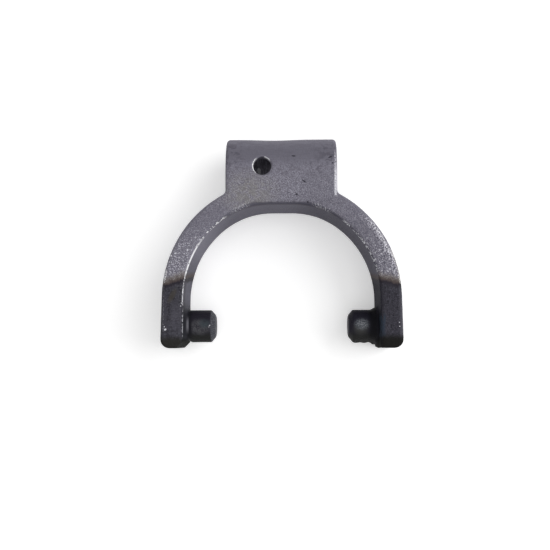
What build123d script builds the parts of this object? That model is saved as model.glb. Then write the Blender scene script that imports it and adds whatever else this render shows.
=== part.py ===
from build123d import *
import os
from math import cos, radians, sin, sqrt, tan

os.makedirs("parts", exist_ok=True)

# Sizes of the clutch fork, in millimetres
# X runs along the shaft bore, Y points from the legs to the hub, Z is the thickness, up through the front face

# Body, one forging of even thickness whose hub is rounded over to a half cylinder
body_thickness = 15.0
hub_length = 25.0
bow_inner_radius = 21.7
bow_width = 4.8
leg_lean_degrees = 1.3
foot_below_pin = 1.3

# Thicker stretch of the bow under the hub, with a flat underside that runs out into the bow in a slightly tighter arc
land_below_bore = 3.6
land_depth = 0.9
land_blend_share = 0.83

# Holes in the hub
bore_radius = 5.0
bore_chamfer = 0.5
cross_hole_radius = 2.0
cross_hole_offset = 4.25
cross_hole_chamfer = 0.25

# Pins that point at each other from the feet
pin_radius = 3.7
pin_below_bow_centre = 6.1
pin_end_gap = 29.8
pin_chamfer_length = 1.1
pin_chamfer_depth = 1.3
pin_end_round = 0.9
pin_root_flare = 0.8

# Rounding of the outline's corners and of the edges that the forging die leaves
hub_side_fillet = 1.0
foot_outer_round = 2.0
foot_inner_round = 0.6
edge_round = 0.8

# Sizes that follow from those above
half_thickness = body_thickness / 2
hub_half = hub_length / 2
hub_radius = half_thickness
blank_top = 2 * hub_radius
land_drop = bore_radius + land_below_bore
bow_centre_drop = land_drop - land_depth + bow_inner_radius
bow_outer_radius = bow_inner_radius + bow_width
lean = radians(leg_lean_degrees)
pin_drop = bow_centre_drop + pin_below_bow_centre
foot_drop = pin_drop + pin_radius + foot_below_pin
shoulder_y = sqrt(bow_outer_radius**2 - hub_half**2) - bow_centre_drop
lean_x = bow_outer_radius * cos(lean)
lean_y = bow_outer_radius * sin(lean) - bow_centre_drop
foot_x = lean_x + (foot_drop + lean_y) * tan(lean)
land_half = sqrt(bow_inner_radius**2 - (bow_inner_radius - land_depth) ** 2)
land_blend_radius = land_blend_share * bow_inner_radius
pin_end_x = pin_end_gap / 2
pin_anchor_x = bow_inner_radius + bow_width / 2


def arc_point(radius, x):
    """Point of the bow's circle of this radius, above its centre, at a distance x from the middle."""
    return (x, sqrt(radius**2 - x**2) - bow_centre_drop)


def corner(shape, x, y):
    """Corner of a flat outline nearest to a place."""
    return shape.vertices().sort_by_distance((x, y, 0))[0]


def fork_outline():
    """Front view of the fork: hub block, round bow and two legs, open at the bottom."""
    with BuildSketch() as outline:
        with BuildLine():
            Polyline((0, blank_top), (hub_half, blank_top), (hub_half, shoulder_y))
            ThreePointArc(
                (hub_half, shoulder_y),
                arc_point(bow_outer_radius, (hub_half + lean_x) / 2),
                (lean_x, lean_y),
            )
            Polyline(
                (lean_x, lean_y),
                (foot_x, -foot_drop),
                (bow_inner_radius, -foot_drop),
                (bow_inner_radius, -bow_centre_drop),
            )
            ThreePointArc(
                (bow_inner_radius, -bow_centre_drop),
                arc_point(bow_inner_radius, (bow_inner_radius + land_half) / 2),
                (land_half, -land_drop),
            )
            Line((land_half, -land_drop), (0, -land_drop))
            mirror(about=Plane.YZ)
        make_face()
        for side in (-1, 1):
            fillet(corner(outline, side * hub_half, shoulder_y), hub_side_fillet)
            fillet(corner(outline, side * foot_x, -foot_drop), foot_outer_round)
            fillet(corner(outline, side * bow_inner_radius, -foot_drop), foot_inner_round)
            fillet(corner(outline, side * land_half, -land_drop), land_blend_radius)
    return outline.sketch


def side_profile():
    """Side view of the fork: a slab of the body's thickness, rounded over at the hub."""
    with BuildSketch(Plane.YZ) as profile:
        Circle(hub_radius)
        with Locations((-foot_drop / 2, 0)):
            Rectangle(foot_drop, body_thickness)
    return profile.sketch


def fork_body():
    """Hub, bow and legs in one piece, with the edges of both faces rounded."""
    blank = extrude(fork_outline(), amount=half_thickness, both=True)
    slab = extrude(side_profile(), amount=foot_x, both=True)
    body = blank & slab
    rims = body.faces().filter_by(Axis.Z).edges()
    crown = rims.filter_by(Axis.X).sort_by(Axis.Y)[-2:]
    hub_ends = body.edges().filter_by(GeomType.CIRCLE).filter_by(lambda edge: edge.center().Y > 0)
    return fillet((rims + hub_ends) - crown, edge_round)


def pin(side):
    """Round pin on the inner wall of one leg, flared at its root and chamfered at its free end."""
    wall_x = bow_inner_radius
    end_radius = pin_radius - pin_chamfer_depth
    with BuildPart() as peg:
        with BuildSketch() as half_section:
            with BuildLine():
                Polyline(
                    (pin_anchor_x, 0),
                    (pin_anchor_x, pin_radius + pin_root_flare),
                    (wall_x, pin_radius + pin_root_flare),
                )
                RadiusArc(
                    (wall_x, pin_radius + pin_root_flare),
                    (wall_x - pin_root_flare, pin_radius),
                    pin_root_flare,
                )
                Polyline(
                    (wall_x - pin_root_flare, pin_radius),
                    (pin_end_x + pin_chamfer_length, pin_radius),
                    (pin_end_x, end_radius),
                    (pin_end_x, 0),
                    (pin_anchor_x, 0),
                )
            make_face()
            fillet(corner(half_section, pin_end_x, end_radius), pin_end_round)
        revolve(axis=Axis.X)
    placed = Pos(0, -pin_drop, 0) * peg.part
    return placed if side > 0 else mirror(placed, about=Plane.YZ)


def shaft_bore():
    """Bore along the hub, with a lead-in at each end."""
    with BuildPart() as bore:
        with BuildSketch():
            with BuildLine():
                Polyline(
                    (-hub_half, 0),
                    (-hub_half, bore_radius + bore_chamfer),
                    (bore_chamfer - hub_half, bore_radius),
                    (hub_half - bore_chamfer, bore_radius),
                    (hub_half, bore_radius + bore_chamfer),
                    (hub_half, 0),
                    close=True,
                )
            make_face()
        revolve(axis=Axis.X)
    return bore.part


def cross_hole():
    """Hole for the locking screw, from the front face into the bore, eased at its mouth."""
    mouth = cross_hole_radius + cross_hole_chamfer
    with BuildPart() as hole:
        with BuildSketch(Plane.XZ):
            with BuildLine():
                Polyline(
                    (0, 0),
                    (cross_hole_radius, 0),
                    (cross_hole_radius, half_thickness - cross_hole_chamfer),
                    (mouth, half_thickness),
                    (0, half_thickness),
                    close=True,
                )
            make_face()
        revolve(axis=Axis.Z)
    return Pos(-cross_hole_offset, 0, 0) * hole.part


def clutch_fork():
    """The whole fork, one solid."""
    blank = fork_body() + pin(-1) + pin(1)
    return blank - shaft_bore() - cross_hole()


fork = clutch_fork()
fork.label = "clutch_fork"
export_step(fork, "parts/clutch_fork.step")
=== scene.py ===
import math
from types import SimpleNamespace

import bpy
from mathutils import Matrix, Vector, noise


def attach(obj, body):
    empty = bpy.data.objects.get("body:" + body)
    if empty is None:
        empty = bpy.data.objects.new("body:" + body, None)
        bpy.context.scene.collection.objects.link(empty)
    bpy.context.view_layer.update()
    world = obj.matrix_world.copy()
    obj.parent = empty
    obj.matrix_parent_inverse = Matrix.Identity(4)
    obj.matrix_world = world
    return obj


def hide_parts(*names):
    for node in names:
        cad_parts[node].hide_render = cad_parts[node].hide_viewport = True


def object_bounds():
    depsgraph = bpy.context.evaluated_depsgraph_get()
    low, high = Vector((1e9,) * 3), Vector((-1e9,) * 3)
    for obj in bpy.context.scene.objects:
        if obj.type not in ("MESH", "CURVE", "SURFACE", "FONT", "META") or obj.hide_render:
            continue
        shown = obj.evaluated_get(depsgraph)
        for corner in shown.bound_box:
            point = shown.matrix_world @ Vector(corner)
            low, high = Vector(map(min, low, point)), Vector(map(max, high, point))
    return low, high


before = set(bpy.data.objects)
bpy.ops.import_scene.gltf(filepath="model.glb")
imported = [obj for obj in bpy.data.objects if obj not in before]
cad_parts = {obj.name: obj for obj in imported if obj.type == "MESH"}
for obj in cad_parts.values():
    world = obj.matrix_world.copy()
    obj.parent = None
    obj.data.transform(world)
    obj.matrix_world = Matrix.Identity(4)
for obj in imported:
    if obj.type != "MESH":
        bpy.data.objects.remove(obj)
cad_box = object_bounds()

MM = 0.001

# Camera, a hand's length above the gap between the pins, in millimetres
CAMERA_PLACE = Vector((2.26, -39.07, 182.0))
CAMERA_TARGET = Vector((-1.565, -23.83, 0.0))
CAMERA_ROLL = 0.002
CAMERA_LENS = 52.2
SENSOR_WIDTH = 36.0

# Half the floor's side in metres, and how much brighter than its own light it looks
FLOOR_HALF = 0.6
FLOOR_LIFT = 0.33

# Light that the white surround gives, as a share of how bright it looks
SKY_LIGHT = 0.38

# Soft square lamps: place and side in metres, and power in watts
LAMPS = {
    "top_lamp": ((0.0, -0.1, 0.6), 0.5, 0.9),
    "right_lamp": ((0.6, 0.16, 0.47), 0.8, 4.85),
}
LAMP_AIM = (0, -0.02, 0)

# Sizes of the fork that the skin and its finish follow, in millimetres
FACE_HEIGHT = 7.5
HUB_RADIUS = 7.5
BOW_CENTRE_Y = -29.4
BOW_INNER_RADIUS = 21.7
LAND_Y = -8.6
FOOT_Y = -40.5
PIN_Y = -35.5
PIN_RADIUS = 3.7
PIN_END_X = 14.9
PIN_ROOT_X = 19.9
CROSS_HOLE_X = -4.25
CROSS_HOLE_RADIUS = 2.0

# Fineness of the skin's mesh and how far the forging's surface wanders, in millimetres
SKIN_STEP = 0.27
WAVE_LENGTH = 5.0
WAVE_DEPTH = 0.05
ROUGH_LENGTH = 0.9
ROUGH_DEPTH = 0.025

# Depths of what forging and use have left on this one fork, in millimetres
LAND_SOFTENING = 0.3
FOOT_BEVEL = 1.5
ROOT_SWELL = 0.5
FLASH_DEPTH = 0.5
HOLLOW_DEPTH = 0.2
HOLLOW_X = -1.5
HOLLOW_REACH = 5.0
PIT_DEPTH = 0.15

# Marks on the front: place, half length and half width in millimetres, and turn in degrees
PITS = [
    (2.75, 2.2, 0.5, 0.2, -8),
    (5.05, -3.55, 0.6, 0.2, -38),
    (3.4, -6.5, 0.34, 0.26, 0),
    (5.86, -8.2, 0.25, 0.2, 0),
    (10.9, 1.9, 0.5, 0.2, 20),
    (11.4, 0.5, 0.25, 0.2, 0),
]
NICKS = [
    (-25.5, -36.35, 0.3, 0.22, 30),
    (-25.7, -35.75, 0.14, 0.12, 0),
    (-16.15, -35.4, 0.16, 0.13, 50),
    (-16.32, -35.75, 0.1, 0.1, 0),
    (25.75, -35.75, 0.12, 0.1, 0),
    (25.7, -34.9, 0.12, 0.1, 0),
    (-22.0, -30.55, 0.14, 0.1, 0),
    (-22.15, -31.2, 0.12, 0.1, 0),
]

# How far a painted mark reaches down from the front face, in millimetres
MARK_REACH = 9.0

# Size of the surface's unevenness along X, Y and Z in millimetres, and how much finer detail each has.
# Real shot dents are about 0.1 mm, too fine to show, so they are drawn at two to three times that.
UNEVENNESS = {
    "grain": ((0.3, 0.3, 0.3), 2.0),
    "fleck": ((0.18, 0.18, 0.18), 0.0),
    "mottle": ((1.1, 1.1, 1.1), 2.0),
    "across": ((3.3, 0.18, 1.0), 2.0),
    "along": ((0.18, 2.0, 1.0), 2.0),
}
GLINT_SPACING = 0.45

# Steel before any tint. Blasting leaves it dull, the oxide on the hardened feet hides nearly all the metal,
# and neither skin mirrors much. The depth of the shot dents is in millimetres.
STEEL_COLOUR = "#75737E"
BLASTED_METALLIC = 0.25
HARD_METALLIC = 0.05
BLASTED_ROUGHNESS = 0.62
FOOT_ROUGHNESS = 0.9
PIN_ROUGHNESS = 0.5
SPECULAR_LEVEL = 0.06
DENT_DEPTH = 0.12

# The heat line of hardening on the legs: how far each of these lowers it, per unit.
# On the left it drops faster beyond HEAT_BEND_X.
HEAT_SHARES = {"mottle": 0.9, "along": 0.6, "side": 0.2, "z": 0.11, "x": 0.008}
HEAT_BEND_X = 22.0
HEAT_BEND_SHARE = 0.18

# Oval places, some with a tint of their own and some with a painted sheen or gleam: centre and half sizes in
# millimetres, and turn in degrees
OVALS = {
    "warm_patch": ((-7.2, -6.2, FACE_HEIGHT), (7.2, 5.8, 9.0), 0),
    "leg_sheen": ((-23.3, -34.2, FACE_HEIGHT), (1.6, 4.4, 9.0), 0),
    "olive_patch": ((-24.0, -28.9, FACE_HEIGHT), (2.2, 0.75, 9.0), 62),
    "hole_rim": ((CROSS_HOLE_X, 0, FACE_HEIGHT), (CROSS_HOLE_RADIUS, CROSS_HOLE_RADIUS, 30.0), 0),
    "bore_gleam": ((-5.4, 1.4, -4.8), (0.5, 0.8, 2.0), 10),
    "blue_sheen": ((-17.3, -35.0, PIN_RADIUS), (1.5, 1.2, 3.0), 0),
    "grey_sheen": ((-18.4, -35.8, PIN_RADIUS), (3.0, 2.2, 3.0), 0),
    "right_sheen": ((17.9, -35.2, PIN_RADIUS), (1.75, 1.35, 3.0), 0),
    "right_fade": ((17.7, -36.2, PIN_RADIUS), (2.2, 1.9, 3.0), 0),
}


def linear(code):
    """Linear colour of an sRGB hex value."""
    channels = [int(code[i : i + 2], 16) / 255 for i in (1, 3, 5)]
    bent = [c / 12.92 if c <= 0.04045 else ((c + 0.055) / 1.055) ** 2.4 for c in channels]
    return (*bent, 1.0)


def smooth(value, start, end):
    """0 at start, 1 at end, with soft ends."""
    t = min(max((value - start) / (end - start), 0.0), 1.0)
    return t * t * (3 - 2 * t)


def add(tree, kind, inputs=None, **settings):
    """Adds a node with its settings. An input is a plain value or another node's output."""
    node = tree.nodes.new(kind)
    for name, value in settings.items():
        setattr(node, name, value)
    for key, value in (inputs or {}).items():
        if isinstance(value, bpy.types.NodeSocket):
            tree.links.new(value, node.inputs[key])
        else:
            node.inputs[key].default_value = value
    return node


def add_camera():
    """Camera that looks down on the fork, as in the photograph."""
    data = bpy.data.cameras.new("camera")
    data.sensor_width = SENSOR_WIDTH
    data.lens = CAMERA_LENS
    camera = bpy.data.objects.new("camera", data)
    forward = (CAMERA_TARGET - CAMERA_PLACE).normalized()
    right = forward.cross(Vector((math.sin(CAMERA_ROLL), math.cos(CAMERA_ROLL), 0))).normalized()
    up = right.cross(forward)
    turn = Matrix((right, up, -forward)).transposed().to_4x4()
    camera.matrix_world = Matrix.Translation(CAMERA_PLACE * MM) @ turn
    bpy.context.scene.collection.objects.link(camera)
    bpy.context.scene.camera = camera


# Skin of the forging. Points are in millimetres.


def soften_land(point):
    """The edge of the flat land under the hub is rounder than the bow's other edges."""
    near_land = smooth(abs(point.x), 12.0, 6.0) * smooth(point.y, LAND_Y + 1.8, LAND_Y)
    near_face = smooth(abs(point.z), FACE_HEIGHT - 3.0, FACE_HEIGHT)
    point.z -= math.copysign(LAND_SOFTENING * near_land * near_face, point.z)


def trim_left_foot(point):
    """The left foot's inner corner is dressed off at 45 degrees, up to the pin."""
    past = ((point.x + BOW_INNER_RADIUS) - (point.y - FOOT_Y - FOOT_BEVEL)) / math.sqrt(2)
    beside_pin = smooth(point.x, -20.4, -21.0)
    if past > 0 and beside_pin > 0:
        point.x -= past * beside_pin / math.sqrt(2)
        point.y += past * beside_pin / math.sqrt(2)


def swell_right_root(point):
    """The right pin grows out of a thicker root than the left one, which the dies didn't fill evenly."""
    off_pin = smooth(point.x, PIN_ROOT_X, PIN_ROOT_X + 1.2)
    off_leg = smooth(point.x, BOW_INNER_RADIUS + 0.6, BOW_INNER_RADIUS)
    along = off_pin * off_leg
    away = Vector((point.y - PIN_Y, point.z))
    if along > 0 and PIN_RADIUS - 0.8 < away.length < PIN_RADIUS + 2.0:
        push = ROOT_SWELL * along * smooth(away.length, PIN_RADIUS + 2.0, PIN_RADIUS + 0.6) / away.length
        point.y += away.x * push
        point.z += away.y * push


def raise_flash(point):
    """A rough line of flash is left under the right pin, where the dies met."""
    along = smooth(point.x, PIN_END_X + 0.6, PIN_END_X + 1.6) * smooth(point.x, BOW_INNER_RADIUS, 20.0)
    pin_bottom = PIN_Y - PIN_RADIUS
    under = smooth(point.y, pin_bottom + 0.6, pin_bottom + 0.1) * smooth(abs(point.z), 1.4, 0.2)
    ragged = noise.noise(Vector((point.x * 1.1, 3.0, 0.0))) + 0.35
    point.y -= FLASH_DEPTH * along * under * ragged


def hollow_crown(point):
    """The top of the hub has a shallow hollow, a little left of its middle."""
    across = math.exp(-(((point.x - HOLLOW_X) / HOLLOW_REACH) ** 2))
    point.y -= HOLLOW_DEPTH * smooth(point.y, 5.0, HUB_RADIUS) * across


def sink_pits(point):
    """Small pits in the front of the hub, left by scale that was hammered in."""
    for pit_x, pit_y, half_length, half_width, turn in PITS:
        away = Vector((point.x - pit_x, point.y - pit_y))
        away.rotate(Matrix.Rotation(-math.radians(turn), 2))
        reach = Vector((away.x / half_length, away.y / half_width)).length
        if point.z > 0 and reach < 1.5:
            point.z -= PIT_DEPTH * smooth(reach, 1.5, 0.4)


def forge(point, normal):
    """Moves a point of the smooth body to where the forging's uneven skin has it, within the CAD's box."""
    wave = noise.noise(point / WAVE_LENGTH) * 0.5 + 0.5
    rough = noise.noise(point / ROUGH_LENGTH) * 0.5 + 0.5
    moved = point - normal * (WAVE_DEPTH * wave + ROUGH_DEPTH * rough)
    soften_land(moved)
    trim_left_foot(moved)
    swell_right_root(moved)
    raise_flash(moved)
    hollow_crown(moved)
    sink_pits(moved)
    moved.y = max(moved.y, FOOT_Y)
    return moved


def forge_skin(source):
    """Fine even mesh of the whole fork, with the marks of forging and use in its shape."""
    skin = source.copy()
    skin.data = source.data.copy()
    skin.name = "fork_skin"
    skin.modifiers.clear()
    bpy.context.scene.collection.objects.link(skin)
    weld = skin.modifiers.new("weld", "WELD")
    weld.merge_threshold = 0.001 * MM
    remesh = skin.modifiers.new("remesh", "REMESH")
    remesh.mode = "VOXEL"
    remesh.voxel_size = SKIN_STEP * MM
    remesh.use_smooth_shade = True
    bpy.context.view_layer.update()
    graph = bpy.context.evaluated_depsgraph_get()
    mesh = bpy.data.meshes.new_from_object(skin.evaluated_get(graph))
    skin.modifiers.clear()
    skin.data = mesh
    normals = [vertex.normal.copy() for vertex in mesh.vertices]
    for vertex, normal in zip(mesh.vertices, normals):
        vertex.co = forge(vertex.co / MM, normal) * MM
    mesh.materials.clear()
    return skin


# Finish of the forging. A layer is a colour, its strength and the limits within which it lies.
# A limit is a value, where the layer is absent and where it is full, and it rises softly between the two.


def band(value, start, full_start, full_end, end):
    """Two limits that hold between start and end."""
    return [(value, start, full_start), (value, end, full_end)]


def zone(tree, limits):
    """Mask that is 1 where every limit holds."""
    mask = None
    for value, outside, inside in limits:
        step = add(
            tree,
            "ShaderNodeMapRange",
            {"Value": value, "From Min": outside, "From Max": inside},
            interpolation_type="SMOOTHSTEP",
        ).outputs[0]
        if mask is None:
            mask = step
        else:
            mask = add(tree, "ShaderNodeMath", {0: mask, 1: step}, operation="MULTIPLY").outputs[0]
    return mask


def oval(tree, place, centre, size, turn):
    """Distance from the centre of an oval place, 1 at its rim."""
    inside = add(
        tree,
        "ShaderNodeMapping",
        {"Vector": place, "Location": centre, "Rotation": (0, 0, math.radians(turn)), "Scale": size},
        vector_type="TEXTURE",
    ).outputs[0]
    return add(tree, "ShaderNodeVectorMath", {0: inside}, operation="LENGTH").outputs["Value"]


def spots(tree, place, marks):
    """Distance from the nearest of a list of small oval marks on the front face, 1 at its rim."""
    nearest = None
    for mark_x, mark_y, half_length, half_width, turn in marks:
        centre = (mark_x, mark_y, FACE_HEIGHT)
        reach = oval(tree, place, centre, (half_length, half_width, MARK_REACH), turn)
        if nearest is None:
            nearest = reach
        else:
            nearest = add(tree, "ShaderNodeMath", {0: nearest, 1: reach}, operation="MINIMUM").outputs[0]
    return nearest


def measure(tree):
    """Places on the fork and the unevenness of its surface, in millimetres, for the finish to follow."""
    at = SimpleNamespace()
    coordinates = add(tree, "ShaderNodeTexCoord").outputs["Object"]
    place = add(tree, "ShaderNodeVectorMath", {0: coordinates, "Scale": 1 / MM}, operation="SCALE").outputs[0]
    at.x, at.y, at.z = add(tree, "ShaderNodeSeparateXYZ", {0: place}).outputs
    at.side = add(tree, "ShaderNodeMath", {0: at.x}, operation="ABSOLUTE").outputs[0]

    # Distance from the bow's centre, and below it straight from the middle line
    above = add(tree, "ShaderNodeMath", {0: at.y, 1: BOW_CENTRE_Y}, operation="SUBTRACT").outputs[0]
    above = add(tree, "ShaderNodeMath", {0: above, 1: 0.0}, operation="MAXIMUM").outputs[0]
    spoke = add(tree, "ShaderNodeCombineXYZ", {0: at.x, 1: above}).outputs[0]
    at.bow = add(tree, "ShaderNodeVectorMath", {0: spoke}, operation="LENGTH").outputs["Value"]

    # Depth behind the wall inside the bow, or behind the flat land under the hub
    behind = add(tree, "ShaderNodeMath", {0: at.bow, 1: BOW_INNER_RADIUS}, operation="SUBTRACT").outputs[0]
    over = add(tree, "ShaderNodeMath", {0: at.y, 1: LAND_Y}, operation="SUBTRACT").outputs[0]
    at.behind_wall = add(tree, "ShaderNodeMath", {0: behind, 1: over}, operation="MAXIMUM").outputs[0]

    # Distance from the bore's axis
    across_bore = add(tree, "ShaderNodeCombineXYZ", {0: at.y, 1: at.z}).outputs[0]
    at.bore = add(tree, "ShaderNodeVectorMath", {0: across_bore}, operation="LENGTH").outputs["Value"]

    for name, (size, detail) in UNEVENNESS.items():
        stretched = add(tree, "ShaderNodeVectorMath", {0: place, 1: size}, operation="DIVIDE").outputs[0]
        pattern = add(tree, "ShaderNodeTexNoise", {"Vector": stretched, "Scale": 1.0, "Detail": detail})
        setattr(at, name, pattern.outputs[0])
    glints = add(tree, "ShaderNodeTexVoronoi", {"Vector": place, "Scale": 1 / GLINT_SPACING})
    at.glint = glints.outputs["Distance"]
    at.chance = add(tree, "ShaderNodeSeparateXYZ", {0: glints.outputs["Color"]}).outputs[0]

    # Height on the leg as the heat of hardening saw it: the colours of heat lie at fixed values of it
    left = add(tree, "ShaderNodeMath", {0: at.x, 1: -1.0}, operation="MULTIPLY").outputs[0]
    bend = add(tree, "ShaderNodeMath", {0: left, 1: HEAT_BEND_X}, operation="MAXIMUM").outputs[0]
    terms = [(getattr(at, name), share) for name, share in HEAT_SHARES.items()]
    at.heat = at.y
    for term, share in [*terms, (bend, HEAT_BEND_SHARE)]:
        joined = {0: term, 1: share, 2: at.heat}
        at.heat = add(tree, "ShaderNodeMath", joined, operation="MULTIPLY_ADD").outputs[0]

    for name, (centre, size, turn) in OVALS.items():
        setattr(at, name, oval(tree, place, centre, size, turn))
    at.pit = spots(tree, place, PITS)
    at.nick = spots(tree, place, NICKS)

    # Limits that many layers share
    at.left = (at.x, -1.0, -2.0)
    at.right = (at.x, 1.0, 2.0)
    at.front = (at.z, 6.1, 6.7)
    at.wall = (at.behind_wall, 0.4, 0.1)
    at.hard = (at.heat, -15.9, -16.8)
    at.pin = [(at.side, 21.5, 20.9), (at.y, -30.9, -31.6)]
    at.leg = [at.hard, (at.behind_wall, 0.1, 0.5)]
    return at


def blast_layers(at):
    """Light and dark shot dents, and painted glints where grains of bare steel catch the light, on the arms
    and the lower hub.
    """
    arms = (at.y, -11.0, -20.0)
    below_crown = (at.y, 3.4, -1.6)
    lower_hub = (at.y, 0.5, -3.0)
    speck = (at.glint, 0.55, 0.35)
    return [
        ("#9C99A5", 0.4, [(at.grain, 0.52, 0.68), below_crown]),
        ("#48454C", 0.65, [(at.grain, 0.48, 0.33), below_crown]),
        ("#605D67", 0.25, [(at.mottle, 0.5, 0.66)]),
        ("#B9B7C1", 0.4, [(at.fleck, 0.58, 0.72), arms, at.front]),
        ("#94929D", 0.35, [(at.fleck, 0.5, 0.64), lower_hub]),
        ("#4F4D57", 0.4, [(at.fleck, 0.48, 0.34), lower_hub]),
        # Painted glints: bright specks where bare steel catches the light
        ("#E4E3EA", 0.85, [speck, (at.chance, 0.86, 0.9), (at.mottle, 0.4, 0.5), arms, at.left, at.front]),
        ("#E4E3EA", 0.8, [speck, (at.chance, 0.8, 0.86), arms, at.right, at.front]),
        ("#D2D1D9", 0.75, [(at.fleck, 0.66, 0.74), arms, at.front]),
        ("#B9B7C0", 0.38, [(at.fleck, 0.52, 0.68), (at.y, -8.0, -16.0), at.right, at.front]),
        ("#3A373E", 0.45, [(at.fleck, 0.42, 0.3), (at.y, -5.0, -9.0), at.right, at.front]),
        # Painted glints on the lower hub
        ("#A9A7B0", 0.32, [(at.fleck, 0.58, 0.72), (at.y, -1.0, -4.0)]),
        # Broad shades: the hub's lower right, where the arms leave the hub, and the right arm
        ("#605E68", 0.3, [(at.x, 3.0, 7.0), *band(at.y, -0.5, -3.0, -8.0, -11.0), at.front]),
        ("#66646F", 0.45, [*band(at.y, -7.0, -11.0, -14.0, -20.0), at.front]),
        ("#52505A", 0.38, [(at.y, -10.0, -15.0), at.right, at.front]),
    ]


def hub_layers(at):
    """Rounded top of the hub, darker with painted shade where it turns away from the front, and smoother; a
    warm tint left of its middle, with painted glints in it; and the bore, with a painted highlight on its far
    wall.
    """
    ends = (at.side, 6.0, 11.0)
    in_bore = (at.bore, 5.5, 5.25)
    return [
        ("#5B5862", 0.45, [(at.across, 0.5, 0.68), (at.y, -2.2, 1.6)]),
        # Painted shade over the upper hub, where its surface turns away from the light
        ("#605E68", 0.62, band(at.y, -0.8, 2.6, 3.2, 6.4)),
        ("#48454E", 0.5, [(at.mottle, 0.47, 0.62), *band(at.y, -2.0, 1.0, 4.0, 6.4), ends]),
        ("#55525B", 0.4, [(at.mottle, 0.52, 0.64), *band(at.y, -3.0, -1.0, 0.0, 1.5), (at.x, -2.0, 1.0)]),
        ("#777573", 0.6, [(at.warm_patch, 1.2, 0.1), (at.mottle, 0.25, 0.6)]),
        # Painted glints in the warm patch
        ("#A5A29E", 0.42, [(at.warm_patch, 1.1, 0.2), (at.grain, 0.52, 0.66)]),
        ("#6A6970", 0.6, [in_bore, (at.along, 0.4, 0.6)]),
        ("#3A393F", 0.6, [in_bore, (at.along, 0.56, 0.44)]),
        # Painted highlight on the bore's far wall, seen through the cross hole
        ("#B4B4B8", 0.75, [(at.bore_gleam, 1.1, 0.5)]),
    ]


def wall_shade_and_scale_layers(at):
    """Walls inside the bow, smooth and dark: painted shade of walls that turn away from the front, with some
    dark forging scale. The right wall, facing away from the light, has deeper painted shade, the left one,
    facing it, has painted light along the arm, and the rounded edge above the land has painted shade.
    """
    land_edge_shade = [(at.behind_wall, 0.6, 0.35), (at.z, 5.2, 6.0), (at.y, -13.8, -9.0)]
    return [
        # Painted shade on the walls, with some dark forging scale
        ("#686672", 0.9, [at.wall]),
        # Painted light on the left wall, which faces the light from the right
        ("#7B7985", 0.7, [at.wall, at.left, *band(at.y, -11.0, -15.0, -18.0, -23.0)]),
        # Painted shade on the right wall, which faces away from the light
        ("#4B4955", 0.8, [at.wall, (at.x, -1.0, 10.0)]),
        ("#464450", 0.6, [at.wall, at.left, (at.y, -18.0, -24.0)]),
        # Painted shade on the rounded edge above the land
        ("#45434C", 0.55, land_edge_shade),
    ]


def heat_layers(at):
    """Temper colours at the edge of the hardened feet, brown to nearly black, and the dark feet below, with
    painted shade on the right wall and at the feet's inner ends, and a painted highlight on the right leg's
    outer edge.
    """
    inner_edge = [*band(at.x, 21.6, 21.8, 22.5, 22.9), *band(at.y, -32.6, -34.0, -37.4, -38.4)]
    below_face = (at.z, 7.35, 7.0)
    return [
        ("#6E6765", 0.7, [(at.heat, -13.4, -14.7), (at.behind_wall, 0.1, 0.5)]),
        ("#4A413F", 0.92, [(at.heat, -14.0, -15.3)]),
        ("#8E8A84", 0.3, [*band(at.heat, -13.2, -13.8, -14.7, -15.4), (at.fleck, 0.5, 0.62), at.front]),
        ("#2A272E", 1.0, [(at.heat, -15.2, -15.9)]),
        # Hardened walls, with painted shade on the right wall, which faces away from the light, and where it
        # meets the right pin
        ("#5B5A65", 1.0, [(at.heat, -16.3, -16.9), at.wall]),
        ("#403E47", 0.85, [at.hard, at.wall, (at.z, 1.5, 4.5)]),
        # Painted shade on the right wall
        ("#191824", 1.0, [at.hard, at.wall, at.right]),
        ("#232428", 0.9, [at.wall, at.left, (at.y, -28.8, -33.0)]),
        # Painted shade at the right pin's root
        ("#0E0E13", 0.95, [at.wall, at.right, (at.y, -31.4, -33.4)]),
        # Hardened legs
        ("#3D3C43", 1.0, at.leg),
        ("#222126", 0.6, [(at.mottle, 0.5, 0.62), *at.leg]),
        ("#605F67", 0.42, [(at.grain, 0.5, 0.68), *at.leg]),
        ("#29282F", 0.55, [at.right, *at.leg]),
        ("#131217", 0.6, [(at.along, 0.53, 0.66), at.right, *at.leg]),
        ("#5D5A66", 0.35, [(at.fleck, 0.52, 0.7), at.right, *at.leg]),
        ("#5A5862", 0.5, [(at.leg_sheen, 1.0, 0.2), (at.across, 0.25, 0.65)]),
        ("#433F3A", 0.7, [(at.olive_patch, 1.1, 0.4)]),
        ("#303A47", 0.8, [*inner_edge, (at.along, 0.35, 0.5)]),
        # Painted highlight where the right leg's rounded outer edge catches the light
        ("#58575F", 0.5, [(at.bow, 25.4, 26.3), at.right, *at.leg]),
        # Ends of the feet, with painted shade on their inner bevels and bottom rounding
        ("#2A2925", 0.85, [(at.y, -37.3, -39.0), *at.leg]),
        ("#181817", 0.7, [(at.y, -37.0, -38.4), at.right, *at.leg]),
        # Painted shade on the bevels and rounding at the inner ends of the feet
        ("#1A1A19", 1.0, [(at.behind_wall, 2.6, 1.6), (at.y, -38.0, -39.0), below_face]),
        (
            "#3A3936",
            0.35,
            [(at.behind_wall, 1.9, 1.2), (at.y, -38.4, -39.2), (at.grain, 0.5, 0.6), below_face, at.left],
        ),
    ]


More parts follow.
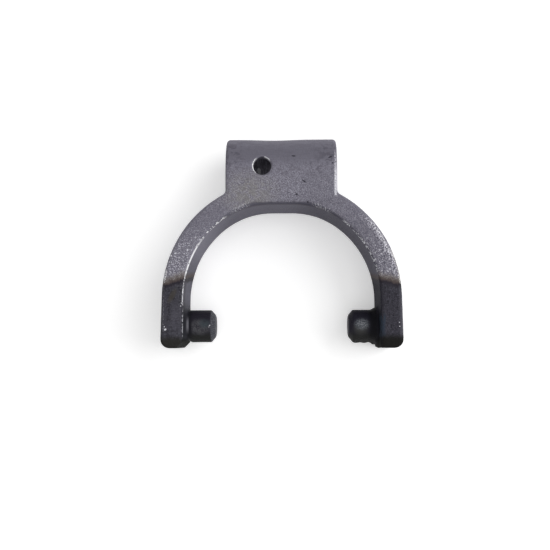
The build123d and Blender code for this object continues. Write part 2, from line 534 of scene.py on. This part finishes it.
def pin_layers(at):
    """Pins, bluish above and olive below, with painted shade that makes them nearly black at the root and
    along the underside, a painted dull gleam along the top of each, and painted light on the left one's free
    end.
    """
    end = (at.side, PIN_END_X + 1.3, PIN_END_X + 0.9)
    off_root = (at.side, 20.8, 19.8)
    root_gleam = [*band(at.x, -21.5, -21.15, -21.0, -20.7), *band(at.y, -37.6, -35.6, -35.0, -33.0)]
    return [
        ("#24222A", 1.0, at.pin),
        ("#201F29", 0.8, [at.right, *at.pin]),
        ("#232421", 0.8, [(at.y, -36.4, -38.0), *at.pin]),
        # Painted shade along the underside of each pin
        ("#0C0C0C", 0.9, [(at.y, -38.0, -38.8), *at.pin]),
        # Gleam along the top of each
        ("#4B4B4F", 0.8, [(at.grey_sheen, 1.1, 0.3), (at.mottle, 0.15, 0.62), off_root]),
        ("#2C2B2F", 0.35, [(at.grey_sheen, 1.1, 0.5), (at.along, 0.5, 0.64), off_root, at.left]),
        ("#6A696C", 0.28, [(at.grey_sheen, 1.0, 0.4), (at.grain, 0.48, 0.62), off_root, at.left]),
        ("#374045", 0.75, [(at.blue_sheen, 1.2, 0.2), (at.mottle, 0.15, 0.5)]),
        ("#424240", 0.75, [(at.right_fade, 1.1, 0.2)]),
        ("#4C5057", 0.7, [(at.right_sheen, 1.3, 0.3)]),
        ("#84868B", 0.8, [(at.right_sheen, 1.2, 0.2), (at.grain, 0.42, 0.6)]),
        # Roots with painted shade and a painted gleam at the left root, and the free ends, the left one with
        # painted light
        # Painted shade at the roots of the pins
        ("#17171C", 0.85, [(at.side, 19.8, 20.8), *at.pin]),
        ("#0B0B0F", 0.85, [(at.side, 19.0, 20.2), at.right, *at.pin]),
        # Painted light on the left pin's end, which faces the light
        ("#3C3D43", 0.9, [end, at.left, *at.pin]),
        ("#6C6C72", 0.55, [end, (at.fleck, 0.5, 0.62), at.left, *at.pin]),
        ("#4A4952", 0.8, [(at.x, 15.2, 14.9), (at.y, -37.8, -37.0), at.right, *at.pin]),
        # Painted highlight on the left pin's root fillet
        ("#6E6D74", 0.8, [*root_gleam, (at.z, 1.0, 2.0)]),
    ]


def inner_edge_wear_and_highlight_layers(at):
    """Bright line along the front edge of the inner wall, broken into beads: partly wear, partly painted
    highlight where the sharp edge catches the light.
    """

    def line(reach, front, ends):
        """Limits of a bright line, worn and painted highlight: reach behind the wall, height up to the front,
        and ends along Y.
        """
        return [(at.behind_wall, *reach), (at.z, *front), *band(at.y, *ends)]

    main = line((0.3, 0.16), (6.2, 6.6), (-15.5, -18.5, -23.8, -24.6))
    upper = line((0.36, 0.24), (6.3, 6.7), (-11.0, -12.2, -17.5, -18.5))
    lower = line((0.26, 0.14), (6.4, 6.8), (-23.5, -24.5, -30.4, -31.4))
    beside_pin = line((0.26, 0.12), (6.4, 6.7), (-25.0, -26.5, -37.6, -38.5))
    right_line = line((0.4, 0.28), (6.5, 6.8), (-12.0, -13.0, -23.8, -24.6))
    beside_land = [*band(at.side, 6.4, 8.2, 9.8, 12.0), (at.behind_wall, 0.8, 0.55), (at.z, 6.4, 6.8)]
    return [
        ("#F1F1F4", 1.0, [*main, (at.chance, 0.08, 0.16), at.left]),
        ("#F1F1F4", 1.0, [*upper, (at.chance, 0.4, 0.48), (at.grain, 0.42, 0.5), at.left]),
        ("#F1F1F4", 1.0, [*lower, (at.grain, 0.47, 0.54), at.left]),
        ("#C4C3CA", 0.65, [*beside_pin, (at.chance, 0.35, 0.45), at.left]),
        ("#C9C8CF", 0.65, [*beside_land, (at.fleck, 0.54, 0.62)]),
        ("#E9E9EE", 0.9, [*right_line, (at.chance, 0.42, 0.5), (at.fleck, 0.46, 0.53), at.right]),
    ]


def edge_layers(at):
    """Outer edges, hub end and hole mouth, bright with painted highlights where they catch the light, the
    outer edges partly worn, and the pits, dark with painted shade, and the nicks on the front.
    """
    rim = at.hole_rim
    right_edge = [*band(at.bow, 25.4, 25.6, 25.95, 26.15), *band(at.y, -12.0, -14.0, -19.0, -22.0)]
    right_fringe = [*band(at.bow, 24.3, 25.6, 26.1, 26.3), *band(at.y, -10.5, -13.0, -22.0, -25.5)]
    right_corner = [(at.bow, 25.9, 26.15), *band(at.y, -18.0, -20.0, -25.8, -26.8), (at.z, 6.3, 6.7)]
    left_edge = [*band(at.bow, 25.75, 25.9, 26.2, 26.35), *band(at.y, -22.8, -24.0, -25.6, -26.4)]
    left_foot_edge = [*band(at.bow, 25.75, 25.95, 26.1, 26.3), *band(at.y, -26.0, -27.0, -35.0, -38.0)]
    hub_end = [*band(at.x, 11.7, 11.95, 12.3, 12.42), (at.z, 5.4, 6.0)]
    glinting_rim = [*band(rim, 0.98, 1.02, 1.07, 1.11), (at.x, -5.0, -5.4), *band(at.y, 1.9, 1.3, -1.3, -1.9)]
    upper_rim = [*band(rim, 0.98, 1.02, 1.07, 1.12), *band(at.x, -3.9, -3.6, -2.6, -2.3), (at.y, 0.6, 0.9)]
    return [
        # Outer edge of the right arm, and of the left one at the hardened foot: wear and painted highlights
        # where the rounding catches the light
        ("#F4F4F7", 1.0, [*right_edge, (at.fleck, 0.47, 0.55), at.front, at.right]),
        ("#BFBDC6", 0.85, [*right_fringe, (at.fleck, 0.5, 0.62), at.front, at.right]),
        ("#DDDBD6", 0.7, [*right_corner, (at.fleck, 0.46, 0.58), at.right]),
        ("#E9E9EC", 0.9, [*left_edge, (at.fleck, 0.46, 0.54), at.front, at.left]),
        ("#A3A2A9", 0.6, [*left_foot_edge, (at.fleck, 0.56, 0.66), at.front, at.left]),
        # Painted highlight on the right end of the hub, whose rounded edge faces the light
        ("#D6D6DC", 1.0, [*hub_end, *band(at.y, 1.0, -2.0, -6.4, -7.2), (at.fleck, 0.42, 0.54)]),
        ("#C4C3CA", 0.7, [*hub_end, *band(at.y, 4.0, 2.0, -6.4, -7.2), (at.grain, 0.46, 0.56)]),
        # Mouth of the cross hole, with painted highlights on its chamfer, on the left and the upper right
        ("#F4F4F6", 1.0, [*glinting_rim, (at.fleck, 0.3, 0.42), at.front]),
        ("#E4E4E8", 0.8, [*upper_rim, at.front]),
        # Painted shade in the pits
        ("#242229", 0.85, [(at.pit, 1.2, 0.5)]),
        ("#D0D0D6", 1.0, [(at.nick, 1.2, 0.6)]),
    ]


def blasted_steel():
    """Forged steel, shot-blasted grey, with feet and pins blackened by induction hardening."""
    # Shot dents scatter the light, so the eye sees a dull grey with bright and dark flecks and hardly a
    # reflection. The oxide on the feet and pins is nearly black, and the smoother pins gleam a little.
    material = bpy.data.materials.new("shot_blasted_forged_steel")
    material.use_nodes = True
    tree = material.node_tree
    shader = tree.nodes["Principled BSDF"]
    at = measure(tree)

    colour = linear(STEEL_COLOUR)
    kinds = [blast_layers, hub_layers, wall_shade_and_scale_layers, heat_layers, pin_layers, inner_edge_wear_and_highlight_layers, edge_layers]
    for code, strength, limits in [layer for kind in kinds for layer in kind(at)]:
        mask = {0: zone(tree, limits), 1: strength}
        share = add(tree, "ShaderNodeMath", mask, operation="MULTIPLY").outputs[0]
        mixed = {"Factor": share, "A": colour, "B": linear(code)}
        colour = add(tree, "ShaderNodeMix", mixed, data_type="RGBA").outputs["Result"]
    tree.links.new(colour, shader.inputs["Base Color"])

    hard = {"Value": zone(tree, [at.hard]), "To Min": BLASTED_METALLIC, "To Max": HARD_METALLIC}
    tree.links.new(add(tree, "ShaderNodeMapRange", hard).outputs[0], shader.inputs["Metallic"])

    foot_end = zone(tree, [at.hard, (at.y, -37.6, -38.6)])
    foot = {"Value": foot_end, "To Min": BLASTED_ROUGHNESS, "To Max": FOOT_ROUGHNESS}
    dull = add(tree, "ShaderNodeMapRange", foot).outputs[0]
    pins = {"Value": zone(tree, at.pin), "To Min": dull, "To Max": PIN_ROUGHNESS}
    tree.links.new(add(tree, "ShaderNodeMapRange", pins).outputs[0], shader.inputs["Roughness"])

    dents = {"Height": at.grain, "Strength": 1.0, "Distance": DENT_DEPTH * MM}
    tree.links.new(add(tree, "ShaderNodeBump", dents).outputs[0], shader.inputs["Normal"])
    shader.inputs["Specular IOR Level"].default_value = SPECULAR_LEVEL
    return material


# Studio


def seen_ray(tree):
    """1 for a ray that the camera sees, straight or through a reflection or glass."""
    rays = add(tree, "ShaderNodeLightPath").outputs
    seen = rays["Is Camera Ray"]
    for name in ("Is Glossy Ray", "Is Transmission Ray"):
        seen = add(tree, "ShaderNodeMath", {0: seen, 1: rays[name]}, operation="MAXIMUM").outputs[0]
    return seen


def white_paper():
    """Matt white paper. The lift that the camera sees makes it white and leaves the shadow on it."""
    # The eye sees a clean even ground with a soft shadow
    material = bpy.data.materials.new("white_paper")
    material.use_nodes = True
    tree = material.node_tree
    paper = tree.nodes["Principled BSDF"]
    paper.inputs["Base Color"].default_value = linear("#F4F4F4")
    paper.inputs["Emission Color"].default_value = (1, 1, 1, 1)
    lift = add(tree, "ShaderNodeMath", {0: seen_ray(tree), 1: FLOOR_LIFT}, operation="MULTIPLY").outputs[0]
    tree.links.new(lift, paper.inputs["Emission Strength"])
    return material


def add_floor():
    """White floor that the fork lies on."""
    mesh = bpy.data.meshes.new("floor")
    corners = [(-1, -1), (1, -1), (1, 1), (-1, 1)]
    height = cad_box[0][2]
    mesh.from_pydata([(x * FLOOR_HALF, y * FLOOR_HALF, height) for x, y in corners], [], [(0, 1, 2, 3)])
    mesh.materials.append(white_paper())
    floor = bpy.data.objects.new("floor", mesh)
    bpy.context.scene.collection.objects.link(floor)


def add_lamp(name, place, size, power):
    """Square soft lamp that points at the fork."""
    data = bpy.data.lights.new(name, "AREA")
    data.size = size
    data.energy = power
    lamp = bpy.data.objects.new(name, data)
    direction = Vector(LAMP_AIM) - Vector(place)
    lamp.matrix_world = Matrix.Translation(place) @ direction.to_track_quat("-Z", "Y").to_matrix().to_4x4()
    bpy.context.scene.collection.objects.link(lamp)


def add_studio():
    """Soft light from above and from the right, and an even white surround."""
    scene = bpy.context.scene
    scene.view_settings.view_transform = "Standard"
    world = bpy.data.worlds.new("studio")
    world.use_nodes = True
    tree = world.node_tree
    sky = tree.nodes["Background"]
    sky.inputs["Color"].default_value = (1, 1, 1, 1)
    glow = {"Value": seen_ray(tree), "To Min": SKY_LIGHT, "To Max": 1.0}
    tree.links.new(add(tree, "ShaderNodeMapRange", glow).outputs[0], sky.inputs["Strength"])
    scene.world = world
    for name, (place, size, power) in LAMPS.items():
        add_lamp(name, place, size, power)


add_camera()
add_studio()
add_floor()
skin = forge_skin(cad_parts["clutch_fork"])
skin.data.materials.append(blasted_steel())
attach(skin, "root")
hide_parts("clutch_fork")
